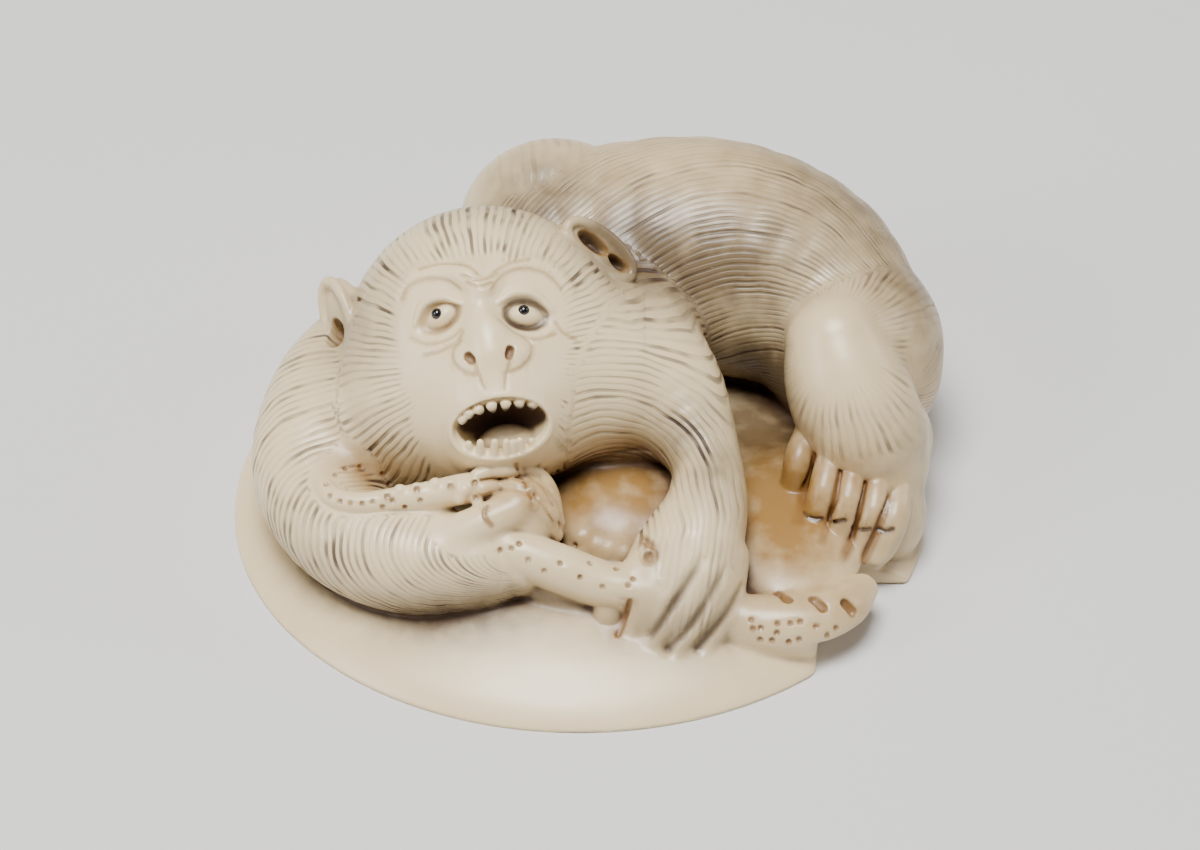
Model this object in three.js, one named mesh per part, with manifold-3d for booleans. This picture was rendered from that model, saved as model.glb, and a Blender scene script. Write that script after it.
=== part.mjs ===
// A netsuke: a monkey lying on a low shell-shaped mound, gripping an octopus arm under its chin.
// The whole work is one carving with two inlaid dark pupils. Millimetres, +Z up, -Y the front.
// The forms are placed from the mound's middle. The finished group is then shifted a little, so that
// its origin is the middle of the underside of the box round the whole carving.
import * as THREE from "three";
import { mergeVertices } from "three/addons/utils/BufferGeometryUtils.js";
import Module from "manifold-3d";

// ---- Driving dimensions ----
const moundWidth = 44.0; // across the mound, left to right
const moundDepth = 40.6; // front to back
const moundHeight = 4.4; // at its middle, under the animal
const gazeAngle = 42; // degrees that the face looks up from level
const headTilt = 11; // degrees that the crown leans to the left
const headCentre = [-5.8, 2.1, 11.5];
const headRadius = 8.9; // of the skull, seen from in front of the face
const pupilRadius = 0.36;
const pupilLength = 0.9;
const inlayGap = 0.04; // between a pupil and the wall of its socket
const cordHoleRadius = 1.7; // of the cord channel in the underside
const cordHoleSpacing = 9; // between its two mouths
const cordHoleMiddle = [0, 8.5]; // half way between them
const stepCorner = [14.6, -7.4]; // inner corner of the step in the mound's right front
const stepHeight = 2.2;

const wasm = await Module();
wasm.setup();
const rad = THREE.MathUtils.degToRad;
const vec = (p) => new THREE.Vector3(...p);

// ---- Shapes ----

/** An egg: a sphere with three radii, turned by x, y and z degrees about its centre. */
function egg(centre, radii, turn = [0, 0, 0], segments = 14) {
  const g = new THREE.SphereGeometry(1, segments, Math.round(segments * 0.7));
  g.rotateX(Math.PI / 2);
  g.scale(...radii);
  g.applyMatrix4(new THREE.Matrix4().makeRotationFromEuler(new THREE.Euler(...turn.map(rad))));
  return g.translate(...centre);
}

/** A limb: a closed tube with round ends through the points, as thick at each as its radius there. */
function limb(points, radii, around = 10, along = 12) {
  const curve = new THREE.CatmullRomCurve3(points.map(vec), false, "centripetal");
  const frames = curve.computeFrenetFrames(along);
  const length = curve.getLength();
  const radiusAt = (u) => {
    const at = Math.min(u * (radii.length - 1), radii.length - 1 - 1e-6);
    const i = Math.floor(at);
    return THREE.MathUtils.lerp(radii[i], radii[i + 1], THREE.MathUtils.smoothstep(at - i, 0, 1));
  };
  // The end of a tube closes like a ball of its own radius.
  const closing = (distance, radius) => Math.sqrt(1 - (1 - Math.min(distance / radius, 1)) ** 2);
  const g = new THREE.SphereGeometry(1, around, along);
  const position = g.attributes.position;
  for (let i = 0; i < position.count; i++) {
    const [x, y, z] = [position.getX(i), position.getY(i), position.getZ(i)];
    const u = (1 - y) / 2;
    const turn = Math.atan2(z, x);
    const step = THREE.MathUtils.clamp(Math.round(u * along), 0, along);
    const r =
      radiusAt(u) * closing(u * length, radii[0]) * closing((1 - u) * length, radii.at(-1));
    const p = curve.getPointAt(THREE.MathUtils.clamp(u, 0, 1));
    p.addScaledVector(frames.normals[step], Math.cos(turn) * r);
    p.addScaledVector(frames.binormals[step], Math.sin(turn) * r);
    position.setXYZ(i, p.x, p.y, p.z);
  }
  return g;
}

/** A three.js geometry as a solid that can be joined and cut. */
function solid(geometry) {
  const bare = geometry.clone();
  bare.deleteAttribute("normal");
  bare.deleteAttribute("uv");
  const merged = mergeVertices(bare, 1e-4);
  return new wasm.Manifold(
    new wasm.Mesh({
      numProp: 3,
      vertProperties: new Float32Array(merged.attributes.position.array),
      triVerts: new Uint32Array(merged.index.array),
    }),
  );
}

const joined = (geometries) => geometries.map(solid).reduce((a, b) => a.add(b));

/** A solid as a geometry that a mesh can show. */
function geometryOf(made) {
  const mesh = made.getMesh();
  const g = new THREE.BufferGeometry();
  g.setAttribute("position", new THREE.BufferAttribute(new Float32Array(mesh.vertProperties), 3));
  g.setIndex(new THREE.BufferAttribute(new Uint32Array(mesh.triVerts), 1));
  g.computeVertexNormals();
  return g;
}

// ---- The mound ----

/** The low mound: a lathe profile with a thin rim, stretched to an oval. */
function mound() {
  const profile = [
    [0, 0], [0.985, 0], [1, 0.06], [0.99, 0.14], [0.93, 0.3], [0.82, 0.52], [0.66, 0.74],
    [0.46, 0.9], [0.24, 0.98], [0, 1],
  ].map(([r, h]) => new THREE.Vector2(r, h * moundHeight));
  const g = new THREE.LatheGeometry(profile, 40);
  g.rotateX(Math.PI / 2);
  return g.scale(moundWidth / 2, moundDepth / 2, 1);
}

/** The step cut into the mound's right front, which leaves the octopus arm standing free. */
function step() {
  const [width, depth] = [12, 18];
  const g = new THREE.BoxGeometry(width, depth, 2 * stepHeight);
  return g.translate(stepCorner[0] + width / 2, stepCorner[1] - depth / 2, 0);
}

// ---- The monkey ----

function trunk() {
  return [
    limb(
      [[-5, 10.4, 8.4], [-1, 13, 9.6], [7.6, 13.2, 9.8], [14, 11.2, 9], [17.6, 6.4, 7.4]],
      [5, 6.4, 7.6, 6.8, 4.8],
      16,
      12,
    ),
    egg([17.4, 7.2, 7], [5.2, 6.8, 6.3], [0, 0, 30], 16),
    egg([-1.6, 15.2, 10.4], [6.2, 5, 6.2], [0, 0, 0], 16),
  ];
}

/** The drawn-up leg on the right: the thigh runs forward to the knee and the shin drops from it. */
function nearLeg() {
  return [
    limb([[19, 8, 7.6], [18.2, 6, 9.2], [16.3, 3.4, 10.8]], [4, 4.2, 3.2], 12, 8),
    limb([[16.1, 3, 11], [16.8, 1.5, 9], [18, -0.6, 6.4]], [3.2, 3.9, 3.9], 14, 10),
  ];
}

function foot() {
  const toes = [
    [[14.6, -0.4, 6.2], [13.9, -2.6, 4.8], [13.7, -3.5, 3]],
    [[16, -1, 6.6], [15.5, -4.7, 5.1], [15.2, -5.8, 2.7]],
    [[17.4, -1.5, 6.4], [16.8, -5.3, 4.9], [16.4, -6.7, 2.3]],
    [[18.8, -2, 6.2], [18.2, -5.8, 4.6], [17.8, -7.4, 2.1]],
    [[20.2, -2.2, 5.4], [19.6, -6.1, 4], [19, -7.5, 1.9]],
  ];
  return [
    limb([[19, 0.6, 5.2], [18.2, -2, 4.2], [17, -4.4, 2.4]], [3.3, 3.4, 2.2], 12, 8),
    ...toes.map((path) => limb(path, [0.85, 0.95, 0.85], 7, 6)),
  ];
}

/** The arm on the left of the face, folded along the front of the mound. */
function leftSideArm() {
  return [
    limb(
      [
        [-11.6, 6, 8.6], [-15, 2.2, 7.6], [-16.6, -2.8, 5.8],
        [-14.6, -7.8, 5], [-9.8, -10.4, 4.9], [-3.4, -12.3, 4.3],
      ],
      [4, 4.3, 3.9, 3.4, 3.3, 2.4],
      14,
      14,
    ),
  ];
}

/** Its hand: a fist under the chin, with the thumb across the front. */
function fist() {
  const fingers = [
    [[-6.3, -7.5, 9.8], [-4.2, -7.9, 10.8], [-2.4, -7.9, 10.2], [-1.0, -9.2, 7]],
    [[-6.0, -8.4, 9.3], [-4.2, -8.8, 10.2], [-2.5, -8.8, 9.6], [-1.0, -9.8, 6.6]],
    [[-5.4, -9.2, 8.9], [-4.1, -9.6, 9.7], [-2.7, -9.7, 9.2], [-1.2, -10.4, 6.2]],
  ];
  return [
    egg([-2.8, -8.8, 6.8], [2.4, 3, 3]),
    limb([[-9.6, -11.8, 5.8], [-6.8, -11.4, 7.8], [-3.8, -10.7, 9]], [1.5, 1.4, 1.15], 10, 8),
    ...fingers.map((path) => limb(path, [0.6, 0.7, 0.7, 0.7], 7, 7)),
  ];
}

/** The arm on the right of the face, reaching forward and down. */
function rightSideArm() {
  return [
    egg([2.4, 2.2, 9.4], [4.6, 5.2, 4.8], [0, 0, 0], 12),
    limb(
      [[1, 7, 9.6], [5.2, 1.2, 9.2], [7.7, -3.6, 7.6], [7.9, -7, 6.6], [7.2, -9.6, 5.4]],
      [5, 3.7, 2.3, 2.5, 2.9],
      14,
      12,
    ),
  ];
}

function rightSideHand() {
  const fingers = [
    [[5.6, -9.4, 6.4], [4.5, -12.8, 4.6], [3.2, -13.9, 2.3]],
    [[7.2, -9.9, 6.4], [6.1, -13.6, 4.6], [4.8, -14.7, 2.1]],
    [[8.7, -10, 5.9], [7.7, -13.9, 4.2], [6.4, -14.9, 1.9]],
    [[9.7, -10.2, 5], [9.2, -13.4, 3.4], [8, -14.9, 1.7]],
  ];
  return [
    ...fingers.map((path) => limb(path, [1.1, 1.1, 0.9], 8, 6)),
    limb([[2.8, -11.6, 4.2], [2, -12.9, 3.2], [1.6, -13.3, 2.2]], [1, 1, 0.85], 8, 6),
  ];
}

// ---- The head, in its own frame: X across the face, Y up it, Z out of it ----

const headFrame = new THREE.Matrix4()
  .makeTranslation(...headCentre)
  .multiply(new THREE.Matrix4().makeRotationX(rad(90 - gazeAngle)))
  .multiply(new THREE.Matrix4().makeRotationZ(rad(headTilt)));

const bothSides = (make) => [-1, 1].map(make);

const earPlaces = [
  [-8.7, 1.5],
  [8.2, 3.7],
];

function head() {
  const shapes = [
    egg([0, 0, -0.6], [headRadius, headRadius, 7.6], [0, 0, 0], 18),
    ...bothSides((side) => egg([side * 5.6, -3, -0.8], [5, 5, 5.6], [0, 0, 0], 12)),
    egg([0, -3.8, 3.6], [4.6, 4.6, 5.2], [0, 0, 0], 16),
    limb([[0, 3, 6.2], [0, 0.8, 7], [0, -0.8, 7.9]], [0.8, 1, 1.2], 8, 6),
    limb(
      [[-4.6, 2.8, 5.2], [-2.6, 4.1, 6.2], [0, 3.4, 6.7], [2.6, 4.1, 6.2], [4.6, 2.8, 5.2]],
      [0.6, 0.7, 0.7, 0.7, 0.6],
      8,
      12,
    ),
    ...earPlaces.map(([x, y]) => {
      const side = Math.sign(x);
      return egg([x, y, -0.6], [1.2, 2.6, 2.2], [0, side * 30, -side * 20], 12);
    }),
  ];
  return shapes.map((g) => g.applyMatrix4(headFrame));
}

/** What is cut out of the head: the mouth, the ears' hollows and the pupils' sockets. */
function headCuts() {
  const shapes = [
    egg([0, -5.1, 7.4], [2.9, 1.8, 4], [0, 0, 0], 14),
    ...earPlaces.map(([x, y]) => {
      const side = Math.sign(x);
      return egg([x + side * 0.3, y, 1], [0.7, 1.7, 1.4], [0, side * 20, -side * 20], 8);
    }),
    ...bothSides((side) => pupil(side, inlayGap)),
  ];
  return shapes.map((g) => g.applyMatrix4(headFrame));
}

/** A pupil: a peg set into the eye, grown all round by the gap when it cuts its own socket. */
function pupil(side, gap = 0) {
  const g = new THREE.CylinderGeometry(pupilRadius + gap, pupilRadius + gap, pupilLength + gap, 12);
  g.rotateX(Math.PI / 2);
  return g.translate(side * 2.62, 2.3, 6.6 - gap / 2);
}

// ---- The octopus ----

function octopus() {
  return [
    limb(
      [
        [-9.6, -4, 7.8], [-13, -3.6, 8], [-15.2, -5.6, 8],
        [-13.9, -8, 8.3], [-10.4, -8.6, 8.8], [-6, -8.4, 9.4],
      ],
      [0.8, 0.8, 0.8, 0.85, 0.9, 1],
      8,
      15,
    ),
    limb(
      [[-6, -10.8, 7.4], [-1.6, -11.9, 6.6], [1.6, -12.3, 5.8], [5.2, -12.4, 4.8]],
      [1.2, 1.3, 1.2, 1.2],
      10,
      8,
    ),
    limb(
      [[8, -10.4, 2.2], [12.2, -12.2, 2.4], [14.8, -12.4, 2.5], [16.8, -11.2, 2.7], [17.6, -8.6, 3.2]],
      [1.6, 1.8, 1.8, 1.7, 1.6],
      10,
      12,
    ),
    egg([2.4, -4.6, 3.4], [5, 4.6, 3.1], [0, 0, 0], 12),
    egg([13, -3.5, 2.6], [4.4, 8, 2.2], [0, 0, 0], 12),
  ];
}

// ---- Cord channel ----

/** A bent channel for the cord, open at both ends in the underside. */
function cordChannel() {
  const halfSpan = cordHoleSpacing / 2;
  return limb(
    [
      [0, -halfSpan - 1, -2.4], [0, -halfSpan, 1.6], [0, -halfSpan / 2, 3.4], [0, halfSpan / 2, 3.4],
      [0, halfSpan, 1.6], [0, halfSpan + 1, -2.4],
    ].map(([x, y, z]) => [x + cordHoleMiddle[0], y + cordHoleMiddle[1], z]),
    [cordHoleRadius, cordHoleRadius],
    12,
    14,
  );
}

// ---- The pieces ----

const body = joined([
  mound(), ...trunk(), ...nearLeg(), ...foot(), ...leftSideArm(), ...rightSideArm(), ...head(), ...octopus(),
])
  .subtract(solid(step()))
  .add(joined([...fist(), ...rightSideHand()]));
const carving = [...headCuts(), cordChannel()].map(solid).reduce((a, b) => a.subtract(b), body);

const ivory = new THREE.MeshStandardMaterial({ color: 0xe6dac2, roughness: 0.35, metalness: 0 });
const horn = new THREE.MeshStandardMaterial({ color: 0x14110f, roughness: 0.15, metalness: 0 });

function piece(name, geometry, material) {
  const mesh = new THREE.Mesh(geometry, material);
  mesh.name = name;
  return mesh;
}

const netsuke = new THREE.Group();
const carvingShape = geometryOf(carving);
netsuke.add(piece("carving", carvingShape, ivory));
for (const [name, side] of [["pupil_left", -1], ["pupil_right", 1]]) {
  netsuke.add(piece(name, pupil(side).applyMatrix4(headFrame), horn));
}

carvingShape.computeBoundingBox();
const middle = carvingShape.boundingBox.getCenter(new THREE.Vector3());
netsuke.position.set(-middle.x, -middle.y, 0);
export default netsuke;
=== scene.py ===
"""A netsuke in ivory: a monkey curled on a shell-shaped mound, gripping an octopus arm.

Laid out as a Blender 4.5 add-on and run as a script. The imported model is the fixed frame. The carving is
worked like clay: rounded forms are joined and cut as one field of distances, the field is skinned, the
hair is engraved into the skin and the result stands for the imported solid.
"""
import math

import bpy
import numpy as np
import openvdb
from mathutils import Euler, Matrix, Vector


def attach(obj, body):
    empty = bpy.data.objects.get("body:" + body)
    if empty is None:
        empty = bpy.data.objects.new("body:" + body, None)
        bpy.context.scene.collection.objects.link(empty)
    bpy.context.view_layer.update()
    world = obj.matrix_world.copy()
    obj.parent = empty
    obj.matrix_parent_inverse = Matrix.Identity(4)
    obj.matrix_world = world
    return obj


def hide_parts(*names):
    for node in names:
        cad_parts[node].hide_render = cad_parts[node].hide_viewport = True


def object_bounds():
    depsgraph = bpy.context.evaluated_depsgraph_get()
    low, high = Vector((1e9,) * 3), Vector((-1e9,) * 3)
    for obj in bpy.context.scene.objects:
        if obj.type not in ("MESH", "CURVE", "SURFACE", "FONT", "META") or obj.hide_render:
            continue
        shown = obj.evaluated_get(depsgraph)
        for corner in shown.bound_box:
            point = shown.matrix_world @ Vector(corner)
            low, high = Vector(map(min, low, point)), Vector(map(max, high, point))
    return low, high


bl_info = {
    "name": "Netsuke",
    "version": (1, 0, 0),
    "blender": (4, 5, 0),
    "location": "View3D > Sidebar > Netsuke",
    "description": "Carves a monkey netsuke round its packed model",
    "category": "Object",
}

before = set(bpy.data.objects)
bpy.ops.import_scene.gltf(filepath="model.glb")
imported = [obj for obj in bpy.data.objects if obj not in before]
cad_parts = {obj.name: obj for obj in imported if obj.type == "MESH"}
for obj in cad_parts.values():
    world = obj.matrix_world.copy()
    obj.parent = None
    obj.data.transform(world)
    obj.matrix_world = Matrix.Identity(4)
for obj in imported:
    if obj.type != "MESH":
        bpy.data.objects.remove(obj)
FRAME_BOX = [list(corner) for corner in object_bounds()]
MM = 0.001

# ---- Driving sizes, in mm, from the mound's middle: +X right, +Y back, +Z up ----

MOUND_WIDTH = 44.0
MOUND_DEPTH = 40.6
MOUND_HEIGHT = 4.4
STEP_CORNER = (14.6, -7.4)
STEP_HEIGHT = 2.2
GAZE = 42.0  # degrees that the face looks up
HEAD_TILT = 11.0  # degrees that the crown leans to the left
HEAD_CENTRE = (-5.8, 2.1, 11.5)
HEAD_RADIUS = 8.9
PUPIL_RADIUS = 0.36
CORD_HOLE_RADIUS = 1.7
CORD_HOLE_SPACING = 9.0
CORD_HOLE_MIDDLE = (0.0, 8.5)

# The viewer looks along the gaze, square on to a plane through this point.
VIEW_MIDDLE = (1.276, 3.415, 3.793)
VIEW_DISTANCE = 300.0
LENS = 141.07
SENSOR_WIDTH = 36.0

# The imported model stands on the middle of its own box, so the clay is shifted to match its edges.
SHIFT = np.array(
    [FRAME_BOX[0][0] / MM + MOUND_WIDTH / 2, FRAME_BOX[0][1] / MM + MOUND_DEPTH / 2, 0.0]
)


# ---- Forms: lists of parts, each with its box's two corners and its distance function ----


def turned(degrees):
    """The turn by x, y and z degrees, as a 3 by 3 array."""
    return np.array(Euler([math.radians(d) for d in degrees]).to_matrix())


class Axes:
    """A place and a turn that forms are set out from."""

    def __init__(self, origin=(0, 0, 0), turn=None):
        self.origin = np.array(origin, float)
        self.turn = np.eye(3) if turn is None else turn

    def point(self, p):
        return self.origin + self.turn @ np.array(p, float)

    def local(self, points):
        return (points - self.origin) @ self.turn


WORLD = Axes()
VIEW = Axes(VIEW_MIDDLE, turned((90 - GAZE, 0, 0)))
EYE_PLACE = VIEW.point((0, 0, VIEW_DISTANCE))
FACE = Axes(HEAD_CENTRE, turned((90 - GAZE, 0, 0)) @ turned((0, 0, HEAD_TILT)))


def egg(centre, radii, turn=(0, 0, 0), axes=WORLD):
    """A ball with three radii, turned about its centre."""
    turning = axes.turn @ turned(turn)
    middle = axes.point(centre)
    a, b, c = radii
    reach = np.sqrt(((turning * np.array(radii, float)) ** 2).sum(axis=1))

    def distance(x, y, z):
        x, y, z = x - middle[0], y - middle[1], z - middle[2]
        u, v, w = (turning[0, i] * x + turning[1, i] * y + turning[2, i] * z for i in range(3))
        u, v, w = u / a, v / b, w / c
        near = np.sqrt(u * u + v * v + w * w)
        steep = np.sqrt((u / a) ** 2 + (v / b) ** 2 + (w / c) ** 2)
        return near * (near - 1) / np.maximum(steep, 1e-6)

    return [(middle - reach, middle + reach, distance)]


def course(points, radii, steps):
    """Places and radii along a smooth curve through the points, with steps to each stretch."""
    knots = np.column_stack([np.array(points, float), radii])
    knots = np.vstack([2 * knots[0] - knots[1], knots, 2 * knots[-1] - knots[-2]])
    t = (np.arange(steps) / steps)[:, None]
    found = []
    for a, b, c, d in zip(knots, knots[1:], knots[2:], knots[3:]):
        found.append(
            0.5 * (2 * b + (c - a) * t + (2 * a - 5 * b + 4 * c - d) * t**2 + (3 * b - a - 3 * c + d) * t**3)
        )
    found.append(knots[-2:-1])
    found = np.vstack(found)
    return found[:, :3], found[:, 3]


def bone(a, b, radius_a, radius_b):
    """A straight stretch between two balls."""
    along = b - a
    square = max(along @ along, 1e-9)
    reach = max(radius_a, radius_b)

    def distance(x, y, z):
        x, y, z = x - a[0], y - a[1], z - a[2]
        t = np.clip((x * along[0] + y * along[1] + z * along[2]) / square, 0, 1)
        gap = np.sqrt((x - t * along[0]) ** 2 + (y - t * along[1]) ** 2 + (z - t * along[2]) ** 2)
        return gap - (radius_a + (radius_b - radius_a) * t)

    return (np.minimum(a, b) - reach, np.maximum(a, b) + reach, distance)


def limb(points, radii, axes=WORLD, steps=6):
    """A round limb through the points, as thick at each as its radius there."""
    if np.isscalar(radii):
        radii = [radii] * len(points)
    places, thick = course([axes.point(p) for p in points], radii, steps)
    return [bone(*pair) for pair in zip(places, places[1:], thick, thick[1:])]


RING_STRETCHES = 12


def ring(half_axes, height, radius, axes):
    """A bent rod along an ellipse, at a height over the plane of the axes."""
    points = [
        (half_axes[0] * math.cos(v), half_axes[1] * math.sin(v), height)
        for v in np.radians(np.linspace(0, 360, RING_STRETCHES + 1))
    ]
    return limb(points, radius, axes, 3)


def slab(centre, half_sizes):
    """A block with square edges that stands square to the world."""
    middle = np.array(centre, float)
    reach = np.array(half_sizes, float)

    def distance(x, y, z):
        sides = (np.abs(v - m) - r for v, m, r in zip((x, y, z), middle, reach))
        return np.maximum.reduce(np.broadcast_arrays(*sides))

    return [(middle - reach, middle + reach, distance)]


# The mound's profile: shares of its half width from the middle out, and of its height.
MOUND_REACH = (0, 0.24, 0.46, 0.66, 0.82, 0.93, 0.985, 1.0)
MOUND_RISE = (1, 0.98, 0.9, 0.74, 0.52, 0.3, 0.14, 0.06)
PROFILE_POINTS = 200
PROFILE_ROUNDINGS = 60
DOME_STEEPNESS = 0.93  # the distance to the dome, as a share of the height above it


def mound_form():
    """The low mound: a dome over an oval, with a thin rim."""
    half = np.array([MOUND_WIDTH / 2, MOUND_DEPTH / 2, MOUND_HEIGHT])
    fine = np.linspace(0, 1, PROFILE_POINTS)
    smooth_rise = np.interp(fine, MOUND_REACH, MOUND_RISE)
    for _ in range(PROFILE_ROUNDINGS):
        smooth_rise[1:-1] = (smooth_rise[:-2] + 2 * smooth_rise[1:-1] + smooth_rise[2:]) / 4

    def distance(x, y, z):
        out = np.sqrt((x / half[0]) ** 2 + (y / half[1]) ** 2)
        top = np.interp(out, fine, smooth_rise).astype(np.float32) * MOUND_HEIGHT
        return np.maximum(np.maximum((z - top) * DOME_STEEPNESS, (out - 1) * half[1]), -z)

    return [(np.array([-half[0], -half[1], 0]), half, distance)]


# ---- Clay ----


def smooth_min(a, b, blend):
    """The lesser of two, with the corner between them filled over that many mm."""
    least = np.minimum(a, b)
    if blend <= 0:
        return least
    close = np.maximum(blend - np.abs(a - b), 0)
    return least - close * close / (4 * blend)


class Clay:
    """The sculpture as a regular field of distances to its surface, negative inside."""

    FAR = 3.0
    SEARCH = 20.0  # how far before and behind the view plane a sight line is followed

    def __init__(self, low, high, step):
        self.low = np.array(low, float)
        self.step = step
        self.size = np.ceil((np.array(high) - self.low) / step).astype(int) + 1
        self.field = np.full(self.size, self.FAR, np.float32)
        self.traces = []

    def window(self, low, high, reach):
        """The part of the field that holds a box and reach mm round it."""
        first = np.floor((low - reach - self.low) / self.step).astype(int)
        last = np.ceil((high + reach - self.low) / self.step).astype(int) + 1
        return [slice(*pair) for pair in zip(np.clip(first, 0, self.size), np.clip(last, 0, self.size))]

    def lines(self, window):
        """The x, y and z of a window, as three arrays that combine to its grid."""
        grids = [
            (self.low[i] + self.step * np.arange(part.start, part.stop)).astype(np.float32)
            for i, part in enumerate(window)
        ]
        return grids[0][:, None, None], grids[1][None, :, None], grids[2][None, None, :]

    def lump(self, form, reach):
        """A form alone, in the window that holds all its parts."""
        low = np.min([part[0] for part in form], axis=0)
        high = np.max([part[1] for part in form], axis=0)
        outer = self.window(low, high, reach)
        found = np.full([part.stop - part.start for part in outer], self.FAR, np.float32)
        for part_low, part_high, distance in form:
            inner = self.window(part_low, part_high, reach)
            here = tuple(slice(i.start - o.start, i.stop - o.start) for i, o in zip(inner, outer))
            found[here] = np.minimum(found[here], distance(*self.lines(inner)))
        return tuple(outer), found

    def add(self, form, blend):
        window, found = self.lump(form, blend + 3 * self.step)
        self.field[window] = smooth_min(self.field[window], found, blend)

    def cut(self, form, blend):
        window, found = self.lump(form, blend + 3 * self.step)
        self.field[window] = -smooth_min(-self.field[window], found, blend)

    def skin(self):
        """The surface as points and four-sided faces."""
        band = np.clip(self.field, -1, 1)
        grid = openvdb.FloatGrid(1.0)
        grid.copyFromArray(band, tolerance=0.0)
        points, quads = grid.convertToQuads(0.0)
        return points.astype(np.float64) * self.step + self.low, quads.astype(np.int64)

    def sample(self, values, points, step):
        """A field's values at the points, by even weighting of the eight around each."""
        at = (points - self.low) / step
        at = np.clip(at, 0, np.array(values.shape) - 1.001)
        cell = at.astype(int)
        part = at - cell
        total = np.zeros(len(points))
        for dx in (0, 1):
            for dy in (0, 1):
                for dz in (0, 1):
                    weight = np.abs(1 - dx - part[:, 0]) * np.abs(1 - dy - part[:, 1])
                    weight = weight * np.abs(1 - dz - part[:, 2])
                    total += weight * values[cell[:, 0] + dx, cell[:, 1] + dy, cell[:, 2] + dz]
        return total

    def seen(self, spot, lift=0.0):
        """The nearest surface that the viewer sees at a spot on the view plane, raised by lift."""
        ray = VIEW.point((*spot, 0)) - EYE_PLACE
        ray = ray / np.linalg.norm(ray)
        reach = np.arange(VIEW_DISTANCE - self.SEARCH, VIEW_DISTANCE + self.SEARCH, self.step / 2)
        places = EYE_PLACE + reach[:, None] * ray
        inside = self.sample(self.field, places, self.step) < 0
        if not inside.any():
            raise RuntimeError("nothing is seen at " + str(spot))
        return places[inside.argmax()] - ray * lift

    def drawn(self, spots, lift):
        return [self.seen(spot, lift) for spot in spots]

    def trace(self, form, width, stain):
        """Remembers where a stain lies: on a form and over width mm round it."""
        self.traces.append((form, width, stain))

    def score(self, spots, radius, lift, width, stain, blend=0.08):
        """Cuts a line that is drawn as the viewer sees it, and stains it."""
        if np.isscalar(radius):
            radius = [radius] * len(spots)
        line = limb(self.drawn(spots, lift), radius, steps=4)
        self.cut(line, blend)
        self.trace(line, width, stain)

    def score_all(self, lines, *cut):
        for spots in lines:
            self.score(spots, *cut)

    def pit(self, spot, radius):
        """A small round hollow with rust-coloured dirt in it."""
        hollow = egg(self.seen(spot), (radius,) * 3)
        self.cut(hollow, 0.06)
        self.trace(hollow, radius * 0.5, "rust")

    def pits(self, spots, radius):
        for spot in spots:
            self.pit(spot, radius)

    def bump(self, spot, lift, radius, blend):
        """A small round bump on the surface at a spot."""
        self.add(egg(self.seen(spot, lift), (radius,) * 3), blend)

    def stained(self, points, stain):
        """How strongly the remembered lines of one stain colour each point."""
        total = np.zeros(len(points))
        for form, width, kind in self.traces:
            if kind == stain:
                near = near_form(form, points, width)
                total[near] = np.maximum(total[near], 1 - ramp(gap_to(form, points[near]), 0.0, width))
        return total

    def crowding(self, points, radius):
        """How much of a ball round each point is ivory: 0.5 on a flat, more in a hollow."""
        skip = max(1, int(round(radius / 4 / self.step)))
        solid = np.clip(0.5 - self.field[::skip, ::skip, ::skip] / (self.step * skip), 0, 1)
        width = max(1, int(round(radius * 0.75 / (self.step * skip))))
        for _ in range(2):
            for axis in range(3):
                solid = box_blur(solid, width, axis)
        return self.sample(solid, points, self.step * skip)


def box_blur(values, width, axis):
    """The mean over width steps to either side along one axis."""
    pad = [(0, 0)] * 3
    pad[axis] = (width + 1, width)
    total = np.cumsum(np.pad(values, pad, mode="edge"), axis=axis, dtype=np.float64)
    count = values.shape[axis]
    high = np.take(total, np.arange(2 * width + 1, 2 * width + 1 + count), axis=axis)
    low = np.take(total, np.arange(count), axis=axis)
    return ((high - low) / (2 * width + 1)).astype(np.float32)


# ---- The carving's forms ----

TRUNK = (
    [(-5, 10.4, 8.4), (-1, 13, 9.6), (7.6, 13.2, 9.8), (14, 11.2, 9), (17.6, 6.4, 7.4)],
    [5, 6.4, 7.6, 6.8, 4.8],
)
RUMP = ((17.4, 7.2, 7), (5.2, 6.8, 6.3), (0, 0, 30))
THIGH = ([(19, 8, 7.6), (18.2, 6, 9.2), (16.3, 3.4, 10.8)], [4, 4.2, 3.2])
SHIN = ([(16.1, 3, 11), (16.8, 1.5, 9), (18, -0.6, 6.4)], [3.2, 3.9, 3.9])
LEFT_ARM = (
    [
        (-11.6, 6, 8.6), (-15, 2.2, 7.6), (-16.6, -2.8, 5.8),
        (-14.6, -7.8, 5), (-9.8, -10.4, 4.9), (-3.9, -11.1, 5.0),
    ],
    [4, 4.3, 3.9, 3.4, 3.3, 1.7],
)
RIGHT_ARM = (
    [(1, 7, 9.6), (5.2, 1.2, 9.2), (7.7, -3.6, 7.6), (7.9, -7, 6.6), (7.2, -9.6, 5.4)],
    [5, 3.7, 2.3, 2.5, 2.9],
)
SWELLING = ((-1.6, 15.2, 10.4), (6.2, 5, 6.2))
LUMP = ((2.4, -4.6, 3.2), (5, 4.6, 3.0))
KNOB = ((3.2, -1.7, 5.0), (1.6, 1.4, 1.6))
VALLEY = ((13, -4.2, 2.4), (5, 8.4, 2.2))
TOES = (
    [(14.2, -0.6, 6.6), (13.7, -2.4, 6), (13.4, -3.4, 3.6)],
    [(16, -1, 6.8), (15.2, -4.6, 5.6), (14.5, -6.3, 2.8)],
    [(17.4, -1.5, 6.6), (16.7, -5.3, 5.4), (16, -7.1, 2.3)],
    [(18.8, -2, 6.2), (18.3, -5.7, 4.9), (17.4, -7.5, 2)],
    [(20.2, -2.2, 5.4), (19.6, -5.8, 4.3), (18.4, -7.5, 1.9)],
)
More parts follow.
